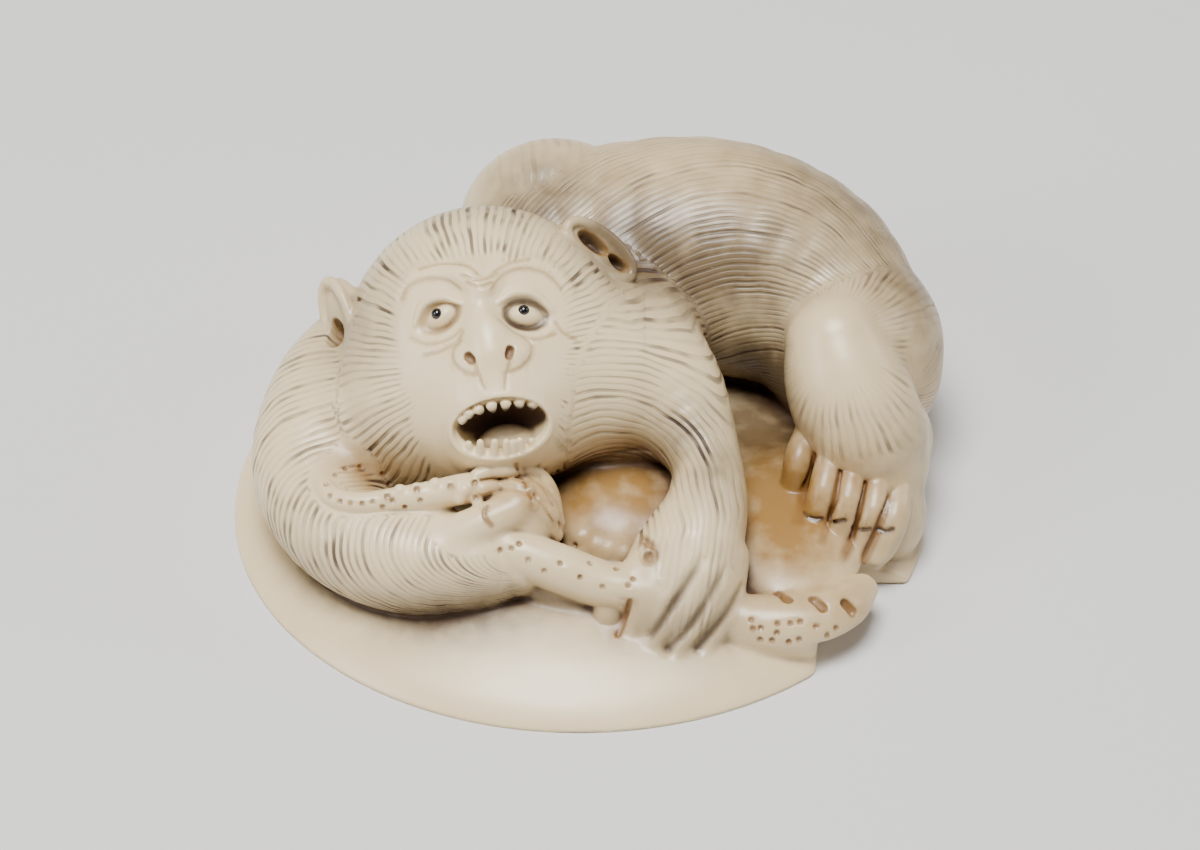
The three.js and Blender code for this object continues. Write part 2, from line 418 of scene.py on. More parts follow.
TOE_GAPS = (
    [(13.73, -1.88), (13.32, -3.25), (12.86, -5.04), (12.66, -6.37)],
    [(15.36, -2.95), (15.06, -4.78), (14.55, -6.32), (14.09, -7.69)],
    [(16.89, -3.71), (16.54, -5.3), (16.03, -7.08), (15.52, -8.51)],
    [(18.37, -4.58), (17.92, -5.91), (17.25, -7.59), (16.64, -8.82)],
)
NAILS = (
    [(13.07, -5.65), (13.58, -5.96), (14.14, -5.96)],
    [(14.6, -6.11), (15.11, -6.16), (15.62, -6.06)],
    [(16.13, -6.52), (16.69, -6.67), (17.2, -6.62)],
    [(17.76, -6.62), (18.22, -6.78), (18.68, -6.62)],
)


def work_trunk(clay):
    clay.add(limb(*TRUNK, steps=4), 0.6)
    clay.add(egg(*RUMP), 1.2)
    clay.add(egg(*SWELLING), 0.25)


def work_octopus_body(clay):
    clay.add(egg(*LUMP), 0.5)
    clay.add(egg(*KNOB), 0.3)
    clay.add(egg(*VALLEY), 0.5)


def work_leg(clay):
    clay.add(limb(*THIGH), 1.0)
    clay.add(limb(*SHIN), 0.3)
    clay.add(limb([(19, 0.6, 5.2), (18.6, -2, 4.4), (17.4, -4.4, 2.4)], [3.3, 3.1, 2.2]), 0.3)
    clay.add(egg((19.6, -3.4, 2.6), (2.2, 3.2, 2.8)), 0.5)
    for path in TOES:
        clay.add(limb(path, [0.8, 0.95, 0.8]), 0.1)
    clay.score_all(TOE_GAPS, [0.14, 0.22, 0.24, 0.2], -0.1, 0.28, "rust")
    clay.score_all(NAILS, 0.1, 0.0, 0.16, "ink")


def work_left_arm(clay):
    clay.add(limb(*LEFT_ARM), 0.3)
    clay.add(egg((-6.6, -10.7, 5.0), (3.0, 2.4, 2.8), (0, 0, -12)), 0.8)


def work_right_arm(clay):
    clay.add(egg((2.4, 2.2, 9.4), (4.6, 5.2, 4.8)), 1.6)
    clay.add(limb(*RIGHT_ARM), 1.4)


# ---- The head ----

# An ear's hollows are places along it, with half a length and half a width for each.
EARS = (
    {
        "centre": (-8.8, 3.5, -0.1),
        "yaw": -58,
        "tilt": 102,
        "half": (2.5, 1.5),
        "hollows": ((-0.9, 1.0, 0.75),),
    },
    {
        "centre": (8.1, 4.6, 0.5),
        "yaw": 24,
        "tilt": -47,
        "half": (2.6, 1.1),
        "hollows": ((-0.65, 1.25, 0.5), (1.4, 0.8, 0.34)),
    },
)

# Places on the surface as the viewer sees it, in mm on a plane square to the view.
EYES = (
    {
        "stain": "soft",
        "middle": (-10.28, 6.95),
        "pupil": (-10.39, 7.08),
        "slant": 22,
        "yaw": -14,
        "lid": [(-11.84, 6.39), (-11.28, 7.67), (-10.11, 8.15), (-8.93, 7.77)],
        "brow": [(-12.86, 8.33), (-11.84, 9.51), (-10.21, 9.76), (-8.68, 9.4), (-7.6, 8.64)],
        "creases": (
            [(-12.63, 7.97), (-12.15, 8.89), (-10.97, 9.33), (-9.7, 9.17), (-8.88, 8.64)],
            [(-12.1, 5.6), (-11.02, 5.17), (-9.7, 5.47), (-8.88, 6.14)],
            [(-11.28, 4.45), (-10.21, 4.71), (-9.24, 5.24), (-8.75, 5.98)],
        ),
    },
    {
        "stain": "ink",
        "middle": (-4.67, 7.06),
        "pupil": (-4.87, 7.29),
        "slant": -18,
        "yaw": 14,
        "lid": [(-6.48, 7.82), (-5.51, 8.43), (-4.19, 8.33), (-3.06, 7.31)],
        "brow": [(-7.15, 8.94), (-6.33, 9.97), (-4.7, 10.32), (-3.11, 9.86), (-1.99, 8.69)],
        "creases": (
            [(-6.89, 8.69), (-6.12, 9.56), (-4.8, 9.97), (-3.32, 9.56), (-2.45, 8.64)],
            [(-6.33, 6.7), (-5.36, 5.88), (-4.08, 5.47), (-2.86, 5.83)],
            [(-2.81, 6.55), (-2.4, 5.93), (-1.53, 5.47)],
        ),
    },
)
FOREHEAD_CREASES = (
    [(-11.54, 9.97), (-9.75, 10.32), (-8.37, 10.12), (-7.71, 9.61)],
    [(-6.74, 9.76), (-5.77, 10.32), (-4.49, 10.58)],
    [(-8.47, 9.1), (-7.71, 8.79), (-6.84, 9.1)],
    [(-8.88, 9.56), (-7.71, 9.25), (-6.53, 9.66)],
)
MOUTH_MIDDLE = (-6.31, -0.21)
MOUTH_HALF = (3.12, 1.86)
MOUTH_SLANT = 8.0
LIP_HALF = (3.2, 1.92)
LIP_POINTS = 17
MOUTH_DEPTH = 3.8
UPPER_TEETH = (
    [(-8.73, 0.38), (-8.58, 0.38)], [(-8.34, 0.7), (-8.33, 0.52)], [(-7.72, 0.98), (-7.54, 0.76)],
    [(-6.91, 1.21), (-6.77, 0.78)], [(-6.02, 1.34), (-6.06, 0.9)], [(-5.15, 1.39), (-5.1, 1.11)],
    [(-4.32, 1.3), (-4.24, 1.1)],
)
LOWER_TEETH = (
    [(-8.32, -1.71), (-8.38, -1.21)], [(-7.62, -1.77), (-7.64, -1.11)],
    [(-6.74, -1.82), (-6.72, -1.08)], [(-5.96, -1.77), (-5.98, -1.08)],
    [(-5.51, -1.74), (-5.55, -1.11)], [(-5.03, -1.61), (-5.12, -0.98)],
    [(-4.27, -1.34), (-4.39, -1.01)],
)
SHELF = [
    (-9.28, -0.45), (-8.96, -1.19), (-8.05, -1.77), (-6.72, -1.97), (-5.48, -1.82), (-4.4, -1.41),
    (-3.57, -0.7), (-3.32, 0.05),
]
TONGUE = (-5.9, -0.86)
TONGUE_TURN = (-42, 0, 8)
NOSE_LINES = (
    [(-8.88, 5.37), (-9.39, 4.81), (-9.29, 3.94), (-8.63, 3.33), (-7.71, 3.18)],
    [(-4.9, 5.63), (-4.34, 5.12), (-4.44, 4.3), (-5.1, 3.64), (-6.02, 3.33)],
    [(-8.01, 3.94), (-7.83, 3.38), (-7.6, 2.77), (-7.4, 2.31)],
    [(-5.67, 4.2), (-5.87, 3.53), (-6, 2.87), (-6.02, 2.36)],
)
NOSTRILS = ([(-8.37, 4.35), (-8.17, 4.15)], [(-5.77, 4.76), (-5.87, 4.45)])


def skull_form():
    return egg((0, 0, -0.6), (HEAD_RADIUS, HEAD_RADIUS, 7.6), axes=FACE)


def cheek_form(side):
    return egg((side * 5.6, -3, -0.8), (5, 5, 5.6), axes=FACE)


def work_skull(clay):
    clay.add(skull_form(), 0.5)
    for side in (-1, 1):
        clay.add(cheek_form(side), 2.4)
    clay.add(egg((0, -3.8, 3.6), (4.6, 4.6, 5.2), axes=FACE), 2.4)
    clay.add(limb([(0.1, 4.4, 5.8), (0.2, 2, 6.4), (0.3, 0.4, 7)], [0.7, 0.8, 1.0], FACE), 1.2)
    clay.add(limb([(0.3, 0.6, 6.9), (0.3, -0.7, 7.3)], [1.0, 1.2], FACE), 1.2)


def work_eye(clay, eye):
    axes = Axes(
        clay.seen(eye["middle"]),
        FACE.turn @ turned((0, eye["yaw"], 0)) @ turned((-6, 0, eye["slant"])),
    )
    brow = clay.drawn(eye["brow"], -0.1)
    lid = clay.drawn(eye["lid"], -0.1)
    clay.cut(egg((0, 0.45, 0.6), (2.3, 1.6, 0.95), axes=axes), 0.7)
    clay.add(limb(brow, [0.12, 0.27, 0.3, 0.27, 0.12]), 0.8)
    clay.cut(egg((0, -0.05, 0.05), (1.62, 1.04, 0.75), axes=axes), 0.15)
    clay.add(egg((0, 0, -1.05), (1.16, 0.76, 1.0), axes=axes), 0.08)
    clay.add(limb(lid, [0.1, 0.26, 0.26, 0.1]), 0.25)
    clay.trace(ring((1.36, 0.88), -0.45, 0.1, axes), 0.3, eye["stain"])
    clay.score_all(eye["creases"], 0.07, 0.04, 0.14, "soft")


def work_nose(clay):
    for x, y in ((-0.95, -0.78), (1.5, -0.9)):
        clay.add(egg((x, y, 7.35), (1.15, 1.0, 0.8), axes=FACE), 0.35)
    clay.add(limb([(0.28, -0.8, 7.5), (0.2, -2.4, 7.95)], [0.55, 0.4], FACE), 0.6)
    clay.score_all(NOSE_LINES, 0.08, 0.02, 0.14, "soft")
    clay.score_all(NOSTRILS, 0.29, -0.15, 0.12, "rust")


def work_mouth(clay):
    upper = [clay.drawn(tooth, -0.5) for tooth in UPPER_TEETH]
    lower = [clay.drawn(tooth, -0.5) for tooth in LOWER_TEETH]
    shelf = clay.drawn(SHELF, -0.7)
    tongue = clay.seen(TONGUE, -3.0)
    slant = math.radians(MOUTH_SLANT)
    lip = []
    for v in np.linspace(0, 2 * math.pi, LIP_POINTS):
        x, y = LIP_HALF[0] * math.cos(v), LIP_HALF[1] * math.sin(v)
        lip.append((
            MOUTH_MIDDLE[0] + x * math.cos(slant) - y * math.sin(slant),
            MOUTH_MIDDLE[1] + x * math.sin(slant) + y * math.cos(slant),
        ))
    rim = clay.drawn(lip, -0.12)
    clay.add(limb(rim, 0.17, steps=3), 0.25)
    axes = Axes(clay.seen(MOUTH_MIDDLE), VIEW.turn)
    clay.cut(egg((0, 0, 0), (*MOUTH_HALF, MOUTH_DEPTH), (0, 0, MOUTH_SLANT), axes), 0.12)
    clay.trace(egg((0.05, 0.5, -1.9), (2.6, 1.0, 2.2), (0, 0, MOUTH_SLANT), axes), 0.3, "deep")
    clay.trace(egg(tongue, (1.3, 0.7, 0.7), TONGUE_TURN), 0.6, "tongue")
    clay.add(limb(shelf, [0.2, 0.36, 0.42, 0.45, 0.42, 0.36, 0.3, 0.16]), 0.12)
    clay.add(egg(tongue, (1.7, 0.9, 0.9), TONGUE_TURN), 0.3)
    for tooth in upper:
        clay.add(limb(tooth, [0.36, 0.07], steps=4), 0.04)
    for tooth in lower:
        clay.add(limb(tooth, [0.3, 0.22], steps=4), 0.05)


def ear_axes(ear):
    turn = FACE.turn @ turned((0, ear["yaw"], 0)) @ turned((0, 0, ear["tilt"]))
    return Axes(FACE.point(ear["centre"]), turn)


def work_ear(clay, ear):
    axes = ear_axes(ear)
    long, wide = ear["half"]
    clay.add(egg((0, 0, -0.7), (long + 0.1, wide + 0.1, 1.0), axes=axes), 0.5)
    clay.add(ring((long, wide), 0, 0.34, axes), 0.2)
    for along, half_long, half_wide in ear["hollows"]:
        wall = egg((along, 0.05, 0.0), (half_long - 0.1, half_wide - 0.1, 0.8), axes=axes)
        bottom = egg((along, 0.0, -0.3), (half_long * 0.6, half_wide * 0.5, 0.6), axes=axes)
        clay.cut(egg((along, 0.05, 0.3), (half_long, half_wide, 1.0), axes=axes), 0.12)
        clay.trace(wall, 0.35, "soft")
        clay.trace(bottom, 0.3, "ink")


def work_head(clay):
    work_skull(clay)
    for eye in EYES:
        work_eye(clay, eye)
    clay.score_all(FOREHEAD_CREASES, 0.08, 0.03, 0.14, "soft")
    work_nose(clay)
    work_mouth(clay)


# ---- The octopus and the hands ----

UPPER_TENTACLE = (
    [
        (-12.8, -4.3, 8), (-14.4, -4.5, 8.2), (-15.5, -5.4, 8.2), (-15.8, -6.9, 8.2), (-15, -8.3, 8.3),
        (-13.4, -8.9, 8.4), (-11.4, -8.7, 8.5), (-9.3, -8.6, 8.8), (-7.4, -8.3, 9), (-5.8, -7.9, 9),
    ],
    [0.55, 0.6, 0.62, 0.65, 0.68, 0.7, 0.78, 0.86, 0.95, 0.95],
)
LOWER_TENTACLE = (
    [(-5.6, -10.2, 6.7), (-3.6, -11, 6.2), (-1.2, -11.6, 5.5), (1.3, -12.1, 4.7), (4.4, -12.6, 4.2)],
    [1.3, 1.45, 1.5, 1.45, 1.4],
)
SIDE_TENTACLE = (
    [(8.4, -12.6, 2.4), (11.3, -13.2, 2.2), (14, -13.1, 2.1), (16, -12, 2.2), (17.4, -10.4, 2.4)],
    [1.5, 1.9, 2.0, 1.8, 1.1],
)
UPPER_SUCKERS = [
    (-13.58, -4.56), (-12.76, -4.2), (-11.69, -4.1), (-10.51, -3.79), (-9.54, -3.89), (-8.63, -4.15),
    (-8.01, -3.69), (-8.98, -4.66), (-7.91, -4.66),
]
UPPER_DOTS = [
    (-17.25, -4.5), (-16.59, -4.86), (-15.92, -4.96), (-15.18, -5.01), (-14.5, -4.91), (-13.88, -5.22),
    (-12.45, -5.22), (-17.46, -3.79), (-13.22, -4.81), (-11.48, -4.81),
]
LOWER_BUMPS = [(-1.28, -7.16), (-0.31, -7.72), (0.51, -7.97), (1.58, -8.23)]
LOWER_DOTS = [
    (-6.38, -7.97), (-5.67, -7.87), (-4.59, -8.59), (-2.55, -8.82), (-0.64, -8.82), (1.02, -9.17),
    (1.79, -10.22), (-1.58, -7.67), (-3.57, -9.3), (2.09, -9.81), (-5.16, -7.57), (0.15, -10.32),
    (-1.28, -9.71),
]
RING_DOTS = [(-16.89, -3.18), (-16.28, -2.77), (-15.31, -2.67), (-13.88, -3.13), (-13.47, -3.74)]
SIDE_DOTS = [
    (9.65, -12.44), (9.75, -13), (10.21, -13.67), (11.33, -12.65), (12.15, -12.65), (11.28, -13.26),
    (12.05, -13.82), (12.71, -13.67), (10.97, -13.72), (14.5, -13.41), (12.76, -12.54),
    (10.26, -12.95), (13.78, -12.85), (15.06, -12.95),
]
SIDE_SUCKERS = (
    [(11.38, -10.81), (11.99, -11.22)],
    [(13.63, -11.16), (14.19, -11.68)],
    [(15.62, -11.42), (16.08, -11.93)],
)
LEFT_FINGERS = (
    [(-7.86, -3.23), (-6.94, -2.92), (-5.92, -2.85), (-5, -3.02)],
    [(-7.5, -4.04), (-6.38, -3.92), (-5.31, -3.94), (-4.54, -4.2)],
    [(-7.04, -4.81), (-5.92, -4.68), (-4.85, -4.78), (-4.24, -5.12)],
)
LEFT_FINGER_BACKS = (
    [(-4.7, -2.82), (-3.73, -3.38), (-3.01, -4.5), (-2.55, -6.24)],
    [(-4.34, -3.99), (-3.52, -4.76), (-2.86, -5.98), (-2.55, -7.01)],
    [(-4.13, -5.01), (-3.47, -5.78), (-2.81, -7.01)],
)
LEFT_FINGER_GAPS = (
    [(-7.96, -3.59), (-6.89, -3.43), (-5.61, -3.43), (-4.85, -3.64)],
    [(-7.6, -4.45), (-6.38, -4.3), (-5.23, -4.33), (-4.39, -4.61)],
)
LEFT_KNUCKLE_LINE = [(-5.36, -2.46), (-5.16, -3.33), (-4.7, -3.94), (-4.39, -4.71), (-4.49, -5.32)]
LEFT_BACK_GAPS = (
    [(-4.49, -3.33), (-3.73, -3.89), (-3.11, -4.91), (-2.55, -6.6)],
    [(-4.24, -4.5), (-3.57, -5.27), (-2.91, -6.44)],
)
RIGHT_FINGERS = (
    [(5.6, -9.6, 6.2), (4.5, -12.6, 4.6), (3.3, -13.8, 2.3)],
    [(7.0, -9.9, 6.3), (5.8, -13.3, 4.5), (4.6, -14.6, 2.0)],
    [(8.4, -10, 5.9), (7.3, -13.5, 4.2), (5.9, -14.9, 1.9)],
    [(9.3, -10.2, 5), (8.7, -13.0, 3.6), (7.2, -14.8, 1.7)],
)
RIGHT_FINGER_GAPS = (
    [(6.38, -8.64), (5.87, -9.51), (5.1, -10.78), (4.21, -12.06), (3.22, -13.36)],
    [(7.99, -9.23), (7.53, -10.14), (6.64, -11.55), (5.68, -12.9), (4.34, -14.23)],
    [(9.09, -10.3), (8.42, -11.55), (7.53, -12.72), (6.25, -14.23)],
)
GAP_RADII = [0.06, 0.2, 0.24, 0.24, 0.2]
RIGHT_SUCKER = (3.13, -8.42)


def work_octopus(clay):
    """The two arms that lie freely, over the body, which a second coat fills out."""
    work_octopus_body(clay)
    clay.add(limb(*UPPER_TENTACLE), 0.12)
    clay.add(limb(*SIDE_TENTACLE), 0.4)
    for spot in UPPER_SUCKERS:
        clay.bump(spot, -0.15, 0.42, 0.15)
    clay.pits(UPPER_SUCKERS[::2], 0.2)
    clay.pits(UPPER_DOTS, 0.15)
    clay.pits(RING_DOTS, 0.15)
    clay.pits(SIDE_DOTS, 0.17)
    clay.score_all(SIDE_SUCKERS, 0.32, -0.1, 0.1, "rust")


def work_lower_tentacle(clay):
    clay.add(limb(*LOWER_TENTACLE), 0.15)
    clay.add(limb([(-3.4, -11, 4), (0, -12, 3), (3.6, -12.4, 2.6)], 1.0), 0.5)
    for spot in LOWER_BUMPS:
        clay.bump(spot, -0.3, 0.5, 0.3)
    clay.pits(LOWER_DOTS, 0.16)


def work_fist(clay):
    clay.add(egg((-3.5, -8.2, 6.6), (2.5, 2.6, 2.9)), 0.2)
    clay.add(egg((-9.4, -9.2, 6.6), (3.0, 1.8, 1.7), (0, 0, -14)), 0.5)
    fingers = [clay.drawn(spots, -0.05) for spots in LEFT_FINGERS]
    backs = [clay.drawn(spots, -0.2) for spots in LEFT_FINGER_BACKS]
    for path in fingers:
        clay.add(limb(path, [0.42, 0.5, 0.5, 0.4]), 0.05)
    for path in backs:
        clay.add(limb(path, [0.42, 0.5, 0.45, 0.3][: len(path)]), 0.06)
    clay.score_all(LEFT_FINGER_GAPS, 0.08, 0.0, 0.14, "soft")
    clay.score(LEFT_KNUCKLE_LINE, 0.08, 0.0, 0.16, "rust")
    clay.score_all(LEFT_BACK_GAPS, 0.08, 0.0, 0.16, "soft")


def work_thumb(clay):
    path = [(-9.4, -10.7, 5.6), (-7.7, -10.6, 6.9), (-5.8, -10.2, 8.0), (-3.9, -9.5, 8.5)]
    clay.add(limb(path, [1.8, 1.5, 1.2, 1.1]), 0.35)
    clay.score([(-7.25, -5.22), (-7.4, -5.58), (-7.3, -5.98), (-6.94, -6.39)], 0.1, 0.0, 0.18, "rust")


def work_right_hand(clay):
    clay.add(egg((7.2, -11.2, 4.3), (2.7, 2.8, 2.9)), 0.5)
    clay.add(limb([(7.8, -7, 6.6), (5.6, -9.4, 6.0), (3.9, -11.3, 5.2)], [1.9, 1.8, 1.2]), 0.6)
    for path in RIGHT_FINGERS:
        clay.add(limb(path, [1.2, 1.2, 1.0]), 0.4)
    clay.add(limb([(2.3, -11.4, 4.4), (1.9, -12.6, 3.4), (1.7, -13.3, 2.3)], [1.1, 1.15, 0.95]), 0.12)
    for gap in RIGHT_FINGER_GAPS:
        clay.score(gap, GAP_RADII[: len(gap)], -0.05, 0.14, "ink", 0.6)
    clay.score([(1.91, -11.24), (1.61, -12.31), (1.12, -13.39)], 0.16, 0.0, 0.25, "rust")
    clay.score([(2.78, -7.34), (3.22, -7.72), (3.52, -8.26)], 0.2, 0.08, 0.3, "rust")
    clay.bump(RIGHT_SUCKER, -0.1, 0.6, 0.1)
    clay.pit(RIGHT_SUCKER, 0.36)


def work_step(clay):
    """The square step cut out of the mound's right front."""
    width, depth = 12, 18
    corner = (STEP_CORNER[0] + width / 2, STEP_CORNER[1] - depth / 2, 0)
    clay.cut(slab(corner, (width / 2, depth / 2, STEP_HEIGHT)), 0.5)


def work_cord_channel(clay):
    half = CORD_HOLE_SPACING / 2
    x, y = CORD_HOLE_MIDDLE
    path = [(0, -half - 1, -2.4), (0, -half, 1.6), (0, -half / 2, 3.4)]
    path += [(px, -py, pz) for px, py, pz in reversed(path)]
    clay.cut(limb([(x + px, y + py, z) for px, py, z in path], CORD_HOLE_RADIUS), 0.2)


CLAY_LOW = (-23.4, -21.4, -0.6)
CLAY_HIGH = (24.4, 22.4, 21)


def worked_clay(step):
    """All the forms, joined and cut in turn, and all that lies below the floor taken off."""
    clay = Clay(CLAY_LOW, CLAY_HIGH, step)
    clay.add(mound_form(), 0)
    work_trunk(clay)
    work_octopus_body(clay)
    work_leg(clay)
    work_left_arm(clay)
    work_head(clay)
    work_right_arm(clay)
    for ear in EARS:
        work_ear(clay, ear)
    work_octopus(clay)
    work_step(clay)
    work_lower_tentacle(clay)
    work_fist(clay)
    work_thumb(clay)
    work_right_hand(clay)
    work_cord_channel(clay)
    height = clay.lines([slice(0, count) for count in clay.size])[2]
    clay.field = np.maximum(clay.field, -height)
    return clay


# ---- Hair: which way it lies, and how strongly it is cut ----

TORSO_HUB = (4.0, -2.0, 9.0)  # the point that the body curls round
TORSO_RING = 15.8  # from the hub to the body's middle line
TORSO_RADIUS = 6.8
ARM_HUB = (-6.0, -2.0, 5.6)
ARM_RING = 10.0
ARM_RADIUS = 3.6
KNEE = (15.6, 1.4, 13.0)
KNEE_RADIUS = 5.4  # where the lines that fan out from the knee are a pitch apart
CROWN_RADIUS = 7.6  # the same for the lines that fan out from the crown
SHOULDER_HUB = (5.74, -10.84)  # in the face's axes, the hollow that the shoulder bends round
SHOULDER_END = -12.6  # in the same axes, where the shoulder's arcs give way to the arm
SHUFFLE = (12.9898, 437.585)  # these two turn a count of lines into an unordered number
# The bare face reaches this many mm from its middle at each angle.
FACE_ANGLES = (-180, -150, -120, -95, -70, -45, -20, 5, 35, 60, 90, 120, 150, 180)
FACE_REACH = (5.0, 5.9, 8.4, 8.6, 7.4, 6.0, 5.0, 5.2, 6.0, 5.6, 5.5, 6.4, 5.8, 5.0)


def gap_to(form, points):
    """How far each point is from a form."""
    x, y, z = points.T
    return np.min([distance(x, y, z) for _, _, distance in form], axis=0)


def near_form(form, points, reach):
    """Which points lie in a form's box or within reach of it."""
    low = np.min([part[0] for part in form], axis=0) - reach
    high = np.max([part[1] for part in form], axis=0) + reach
    return ((points > low) & (points < high)).all(axis=1)


def wander(points, scale, seed):
    """A smooth, even wandering value from -1 to 1 through space."""
    x, y, z = (points / scale + seed * 1.7).T
    return (
        np.sin(x * 2.1 + 1.3 * np.sin(z * 1.7 + seed))
        + np.sin(y * 2.3 + 1.1 * np.sin(x * 1.9 + seed * 2))
        + np.sin(z * 2.7 + 1.2 * np.sin(y * 1.5 + seed * 3))
    ) / 3


def ramp(values, low, high):
    """0 below low, 1 above high and a soft step between."""
    t = np.clip((values - low) / (high - low), 0, 1)
    return t * t * (3 - 2 * t)


def face_border(x, y):
    """How far outside the bare face a place on the head is, in mm."""
    return np.hypot(x, y) - np.interp(np.degrees(np.arctan2(y, x)), FACE_ANGLES, FACE_REACH)


def head_hair(points, pitch):
    """Lines that fan out from the crown, ragged where the bare face begins."""
    x, y, _ = FACE.local(points).T
    angle = np.arctan2(x, y + 0.6)
    lines = round(2 * math.pi * CROWN_RADIUS / pitch)
    phase = angle / (2 * math.pi) * lines
    ragged = 0.55 * (line_value(phase, 5) - 0.3)
    strength = ramp(face_border(x, y) + ragged, 0.0, 0.5)
    seam = ramp(np.pi - np.abs(angle), 0.02, 0.05)
    return phase, strength * seam


def shoulder_hair(points, pitch):
    """Arcs about the hollow, that run on down the arm."""
    x, y, z = FACE.local(points).T
    bow = np.hypot(x - SHOULDER_HUB[0], np.maximum(y - SHOULDER_HUB[1], 0)) + 0.35 * np.minimum(z, 3)
    strength = ramp(face_border(x, y), 0.0, 0.7)
    low_arm = ramp(SHOULDER_END - y, 0, 1.5)
    phase = bow - low_arm * 0.35 * (y - SHOULDER_END)
    return phase / (pitch * 0.95), strength * (1 - 0.6 * low_arm)


def round_ring(points, hub, radius):
    """The turn round the hub, and round a tube that rings it from the tube's top, in radians."""
    x, y, z = (points - hub).T
    return np.arctan2(y, x), np.arctan2(np.hypot(x, y) - radius, z)


def left_arm_hair(points, pitch):
    """Lines across the arm, swept towards the hand on its outer side."""
    turn, round_tube = round_ring(points, ARM_HUB, ARM_RING)
    far = np.mod(turn, 2 * np.pi) * ARM_RING
    down = np.maximum(round_tube, 0) * ARM_RADIUS
    leaning = ramp(far, 36, 52)
    sweep = (0.03 + 0.085 * leaning) * down**2
    wrist = ramp(far, 49.5, 51.5) * ramp(ARM_RADIUS - down, 0, 1.5)
    return (far - sweep) / (pitch * 0.9), 1 - 0.95 * wrist


def trunk_hair(points, pitch):
    """Lines along the body, that wind slowly round it."""
    turn, round_tube = round_ring(points, TORSO_HUB, TORSO_RING)
    phase = round_tube * TORSO_RADIUS + turn * TORSO_RING * 0.36
    return phase / (pitch * 0.9), np.full(len(points), 0.62)


def leg_hair(points, pitch):
    """Lines that fan out from the knee, which is worn smooth."""
    side, level, _ = VIEW.turn.T @ (points - KNEE).T
    turn = np.arctan2(side, -level)
    lines = round(2 * math.pi * KNEE_RADIUS / pitch)
    seam = ramp(np.pi - np.abs(turn), 0.02, 0.06)
    worn = ramp(np.hypot(side - 0.4, level + 0.6), 2.2, 5.0)
    return turn / (2 * math.pi) * lines, 0.6 * worn * seam


def swelling_hair(points, pitch):
    return points[:, 0] / (pitch * 1.6), np.full(len(points), 0.3)


def bare(points, pitch):
    return np.zeros(len(points)), np.zeros(len(points))


def hair_areas():
    """Each area's form, its hair, and how far in mm its edge is moved out."""
    ears = []
    for ear in EARS:
        ears += ring(ear["half"], 0, 0.5, ear_axes(ear))
    shoulder = cheek_form(1) + limb(*RIGHT_ARM) + egg((7.2, -11.2, 4.3), (2.7, 3.6, 2.9))
    foot = limb([(19, -1.4, 5.0), (18.2, -3, 4.2), (17, -4.4, 2.4)], [3.3, 3.3, 2.2])
    fist = egg((-2.7, -8.3, 6.6), (2.4, 2.9, 3.2))
    thumb = limb([(-8.6, -10.7, 6.2), (-5.8, -10.2, 8.0), (-3.9, -9.5, 8.5)], [1.5, 1.3, 1.2])
    return [
        (skull_form() + cheek_form(-1), head_hair, 0.0),
        (shoulder, shoulder_hair, 0.5),
        (limb(*LEFT_ARM), left_arm_hair, 0.1),
        (limb(*TRUNK) + egg(*RUMP), trunk_hair, 0.0),
        (limb(*THIGH) + limb(*SHIN), leg_hair, 0.0),
        (egg(*SWELLING), swelling_hair, 0.0),
        (ears, bare, 0.2),
        (foot + limb(TOES[0], 0.9), bare, 0.3),
        (limb(*UPPER_TENTACLE) + limb(*LOWER_TENTACLE) + limb(*SIDE_TENTACLE), bare, 0.3),
        (egg(*LUMP) + egg(*KNOB) + egg(*VALLEY), bare, 0.3),
        (fist + thumb, bare, 0.4),
        (mound_form(), bare, 0.25),
    ]


def hair_on(points, sizes):
    """The hair's line count across, and its strength, at each point."""
    areas = hair_areas()
    gaps = np.array([gap_to(form, points) - bonus for form, _, bonus in areas])
    nearest = gaps.argmin(axis=0)
    ordered = np.sort(gaps, axis=0)
    clear = ramp(ordered[1] - ordered[0], 0.02, 0.3)
    phase = np.zeros(len(points))
    strength = np.zeros(len(points))
    for i, (_, hair, _) in enumerate(areas):
        here = nearest == i
        if here.any():
            phase[here], strength[here] = hair(points[here], sizes.hair_pitch / MM)
    phase += 0.3 * wander(points, 2.4, 1) + 0.16 * wander(points, 0.9, 2)
    broken = 0.35 + 0.65 * ramp(wander(points, 1.3, 4) + line_value(phase, 3) - 0.5, -0.55, 0.25)
    return phase, strength * clear * broken


def line_value(phase, number):
    """An even, unordered number from 0 to 1 for each hair line."""
    return np.modf(np.abs(np.sin(np.round(phase) * SHUFFLE[0] + number) * SHUFFLE[1]))[0]


def groove(phase):
    """The depth of a cut at each line, from 0 between the lines to 1 on them."""
    across = np.abs(phase - np.round(phase)) * 2
    return np.clip(1 - across / 0.55, 0, 1) ** 1.2
